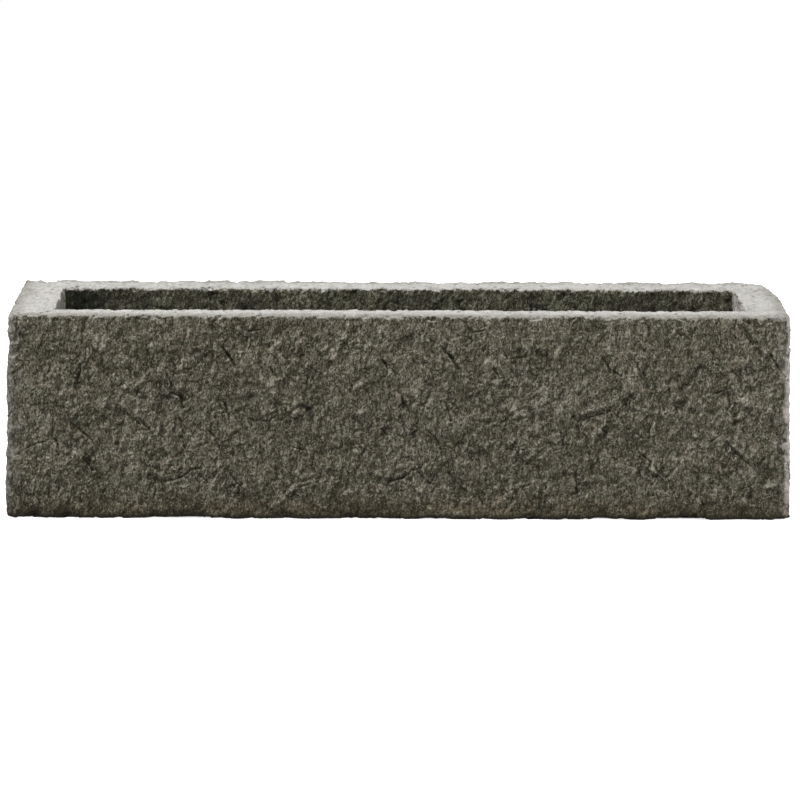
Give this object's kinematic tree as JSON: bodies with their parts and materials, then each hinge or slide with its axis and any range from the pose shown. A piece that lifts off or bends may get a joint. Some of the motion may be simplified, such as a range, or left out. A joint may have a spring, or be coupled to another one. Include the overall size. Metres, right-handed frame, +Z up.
{
  "type": "trough planter",
  "caption": "Long rectangular stone trough planter with thick worn walls, a drafted planting cavity and drain holes in the floor, each closed by a pull-out rubber plug.",
  "frame": {"origin": "middle of the base on the ground, at the centre of the bounding box", "axes": "+X along the trough to its right end, +Y from its front to its back, +Z up"},
  "size_m": [1.2238, 0.3598, 0.322],
  "materials": {
    "cast_stone": "rough weathered",
    "sleeve_plastic": "matt",
    "plug_rubber": "matt"
  },
  "bodies": {
    "trough": {"trough_body": "cast_stone", "drain_sleeve_left": "sleeve_plastic", "drain_sleeve_centre": "sleeve_plastic", "drain_sleeve_right": "sleeve_plastic"},
    "plug_left": {"drain_plug_left": "plug_rubber"},
    "plug_centre": {"drain_plug_centre": "plug_rubber"},
    "plug_right": {"drain_plug_right": "plug_rubber"}
  },
  "joints": [
    {"name": "plug_left_pull", "type": "slide", "parent": "trough", "child": "plug_left", "axis": [0, 0, 1], "range_m": [0, 0.32]},
    {"name": "plug_centre_pull", "type": "slide", "parent": "trough", "child": "plug_centre", "axis": [0, 0, 1], "range_m": [0, 0.32]},
    {"name": "plug_right_pull", "type": "slide", "parent": "trough", "child": "plug_right", "axis": [0, 0, 1], "range_m": [0, 0.32]}
  ]
}
